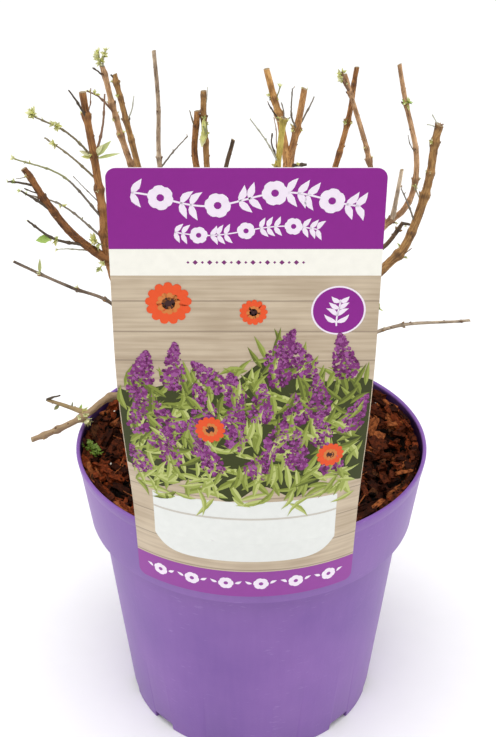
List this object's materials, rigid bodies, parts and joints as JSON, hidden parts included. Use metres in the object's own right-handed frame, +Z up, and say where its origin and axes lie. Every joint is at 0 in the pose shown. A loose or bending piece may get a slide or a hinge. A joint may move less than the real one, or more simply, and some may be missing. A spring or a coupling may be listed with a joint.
{
  "type": "potted butterfly bush",
  "caption": "Deciduous shrub cut back hard and coming into leaf, in a round violet grower's pot with bark mulch and a plain hang-over label.",
  "frame": {"origin": "middle of the pot's flat underside", "axes": "+Z up the pot and the bush; the label hangs on the -Y side; +X to the right of the label seen from its front"},
  "size_m": [0.2765, 0.2211, 0.4252],
  "materials": {
    "pot": "satin violet moulded plastic",
    "label": "printed plastic sheet, satin",
    "bark_mulch": "damp pine bark chips",
    "bark": "rough peeling shrub bark",
    "fresh_twig": "soft young leaves on thin twigs",
    "dry_twig": "dry grey-brown twigs"
  },
  "bodies": {
    "root": {"pot": "pot", "soil": "bark_mulch", "label": "label", "root_crown": "bark", "stem_centre": "bark", "stem_left": "bark", "stem_right": "bark", "stem_left_back": "bark", "stem_right_mid": "bark", "stem_right_back": "bark", "stem_back": "bark", "stem_front_left": "bark", "stem_front_right": "bark", "stem_low_left": "bark", "bough_centre_left": "bark", "bough_centre_right": "bark", "bough_centre_front": "bark", "bough_left_outer": "bark", "bough_left_low": "bark", "bough_left_inner": "bark", "bough_left_slim": "bark", "bough_back_twin": "bark", "bough_back_stub": "bark", "bough_right_cross": "bark", "bough_right_stub": "bark", "bough_right_dark_stub": "bark", "bough_right_low": "bark", "bough_low_upper": "bark", "bough_front_middle": "bark", "bough_front_far_right": "bark", "bough_back_right": "bark", "bough_back_left": "bark", "spray_left_top": "fresh_twig", "spray_left_upper": "fresh_twig", "spray_left_middle": "fresh_twig", "spray_left_back": "fresh_twig", "spray_left_cross": "fresh_twig", "spray_left_shoot": "fresh_twig", "spray_left_crest": "fresh_twig", "spray_outer_tip": "fresh_twig", "spray_outer_low": "fresh_twig", "spray_centre_front": "fresh_twig", "spray_centre_right": "fresh_twig", "spray_right_cross": "fresh_twig", "spray_front_left": "fresh_twig", "spray_front_middle": "fresh_twig", "spray_front_right": "fresh_twig", "spray_front_low": "fresh_twig", "spray_back_left": "fresh_twig", "spray_back_right": "fresh_twig", "spray_left_dark": "dry_twig", "spray_left_thin": "dry_twig", "spray_outer_dry": "dry_twig", "spray_outer_foot": "dry_twig", "spray_inner_dry": "dry_twig", "spray_slim_dry": "dry_twig", "spray_centre_dark": "dry_twig", "spray_centre_dry": "dry_twig", "spray_right_dry": "dry_twig"}
  },
  "joints": []
}
